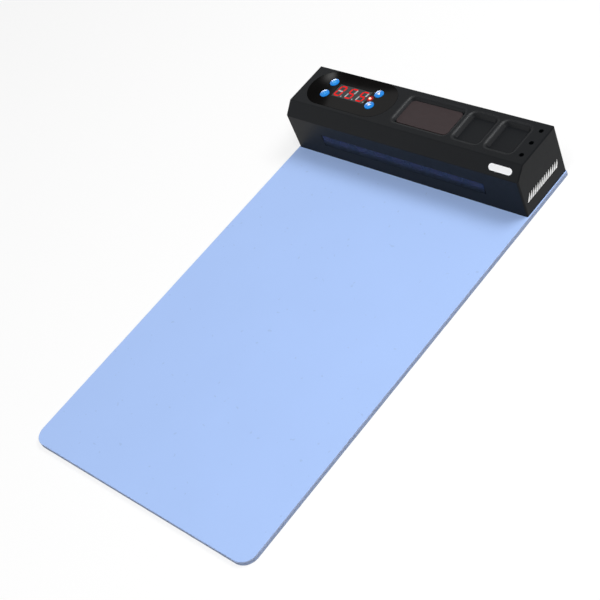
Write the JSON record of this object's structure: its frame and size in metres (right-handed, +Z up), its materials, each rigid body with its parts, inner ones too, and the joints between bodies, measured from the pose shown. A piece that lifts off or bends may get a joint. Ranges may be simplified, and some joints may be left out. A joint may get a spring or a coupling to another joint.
{
  "type": "silicone heating pad",
  "caption": "Flat heated silicone mat with a black control box along its rear edge: digital temperature display, push buttons, part trays, tool holes and a front work lamp.",
  "frame": {"origin": "middle of the underside of the mat, on the bench face", "axes": "+Y along the mat towards the control box, +Z up, +X to the right of someone in front of it"},
  "size_m": [0.18, 0.3049, 0.0389],
  "materials": {
    "silicone_blue": "matt, faintly mottled",
    "silicone_grey": "matt",
    "polyimide_film": "satin",
    "foil": "satin",
    "sensor_epoxy": "gloss",
    "black_rubber": "matt",
    "base_plastic": "satin",
    "housing_plastic": "fine satin texture",
    "screw_steel": "zinc plated",
    "smoked_lens": "clear, smoked",
    "reflector_silver": "metallised satin",
    "white_board": "solder-resist satin",
    "lamp_phosphor": "satin",
    "black_ceramic": "satin",
    "magnet_rubber": "matt, rough cut edges",
    "panel_film": "gloss",
    "board_laminate": "solder-resist satin",
    "display_grey": "satin",
    "segment_lit": "lit red",
    "segment_unlit": "milky",
    "led_red": "lit red",
    "button_blue": "gloss",
    "plunger_white": "satin",
    "black_nylon": "satin",
    "rocker_plastic": "semi-gloss",
    "core_steel": "laminated, varnished",
    "coil_tape": "taped",
    "relay_blue": "satin",
    "fuse_glass": "clear",
    "contact_brass": "bright",
    "capacitor_sleeve": "gloss",
    "suppressor_box": "satin",
    "terminal_green": "satin",
    "wire_red": "PVC or silicone sleeve",
    "wire_white": "PVC sleeve",
    "wire_black": "PVC sleeve",
    "wire_brown": "PVC sleeve",
    "wire_yellow": "PVC sleeve",
    "ribbon_grey": "PVC ribbon"
  },
  "bodies": {
    "pad": {"mat_top_sheet": "silicone_blue", "mat_bottom_sheet": "silicone_grey", "heater_carrier": "polyimide_film", "heater_track": "foil", "temperature_sensor": "sensor_epoxy", "lead_bush": "black_rubber", "base_plate": "base_plastic", "housing": "housing_plastic", "case_screws": "screw_steel", "lamp_board_screws": "screw_steel", "display_board_screws": "screw_steel", "control_board_screws": "screw_steel", "inlet_screws": "screw_steel", "inlet_nuts": "screw_steel", "lamp_lens": "smoked_lens", "lamp_reflector": "reflector_silver", "lamp_board": "white_board", "lamp_chips": "lamp_phosphor", "lamp_resistors": "black_ceramic", "microcontroller": "black_ceramic", "magnet_sheet": "magnet_rubber", "control_film": "panel_film", "display_board": "board_laminate", "control_board": "board_laminate", "display_block": "display_grey", "lit_segments": "segment_lit", "unlit_segments": "segment_unlit", "status_lamp": "led_red", "switch_cans": "black_nylon", "power_inlet": "black_nylon", "switch_frame": "black_nylon", "transformer_core": "core_steel", "transformer_coil": "coil_tape", "relay": "relay_blue", "fuse": "fuse_glass", "fuse_clips": "contact_brass", "contact_pins": "contact_brass", "switch_tabs": "contact_brass", "capacitors": "capacitor_sleeve", "suppressor": "suppressor_box", "terminal_block": "terminal_green", "heater_leads": "wire_red", "sensor_lead": "wire_white", "switch_wires": "wire_black", "mains_wires": "wire_brown", "lamp_leads": "wire_yellow", "display_ribbon": "ribbon_grey"},
    "power_button": {"button_power": "button_blue", "plunger_power": "plunger_white"},
    "set_button": {"button_set": "button_blue", "plunger_set": "plunger_white"},
    "up_button": {"button_up": "button_blue", "plunger_up": "plunger_white"},
    "down_button": {"button_down": "button_blue", "plunger_down": "plunger_white"},
    "power_rocker": {"rocker": "rocker_plastic"}
  },
  "joints": [
    {"name": "power_button_press", "type": "slide", "parent": "pad", "child": "power_button", "axis": [0, 0, -1], "range_m": [0, 0.0004], "stiffness_N_per_m": 600},
    {"name": "set_button_press", "type": "slide", "parent": "pad", "child": "set_button", "axis": [0, 0, -1], "range_m": [0, 0.0004], "stiffness_N_per_m": 600},
    {"name": "up_button_press", "type": "slide", "parent": "pad", "child": "up_button", "axis": [0, 0, -1], "range_m": [0, 0.0004], "stiffness_N_per_m": 600},
    {"name": "down_button_press", "type": "slide", "parent": "pad", "child": "down_button", "axis": [0, 0, -1], "range_m": [0, 0.0004], "stiffness_N_per_m": 600},
    {"name": "power_rocker_tilt", "type": "hinge", "parent": "pad", "child": "power_rocker", "pos_m": [-0.066, 0.1486, 0.019], "axis": [0, 0, 1], "range_deg": [-20, 0]}
  ]
}
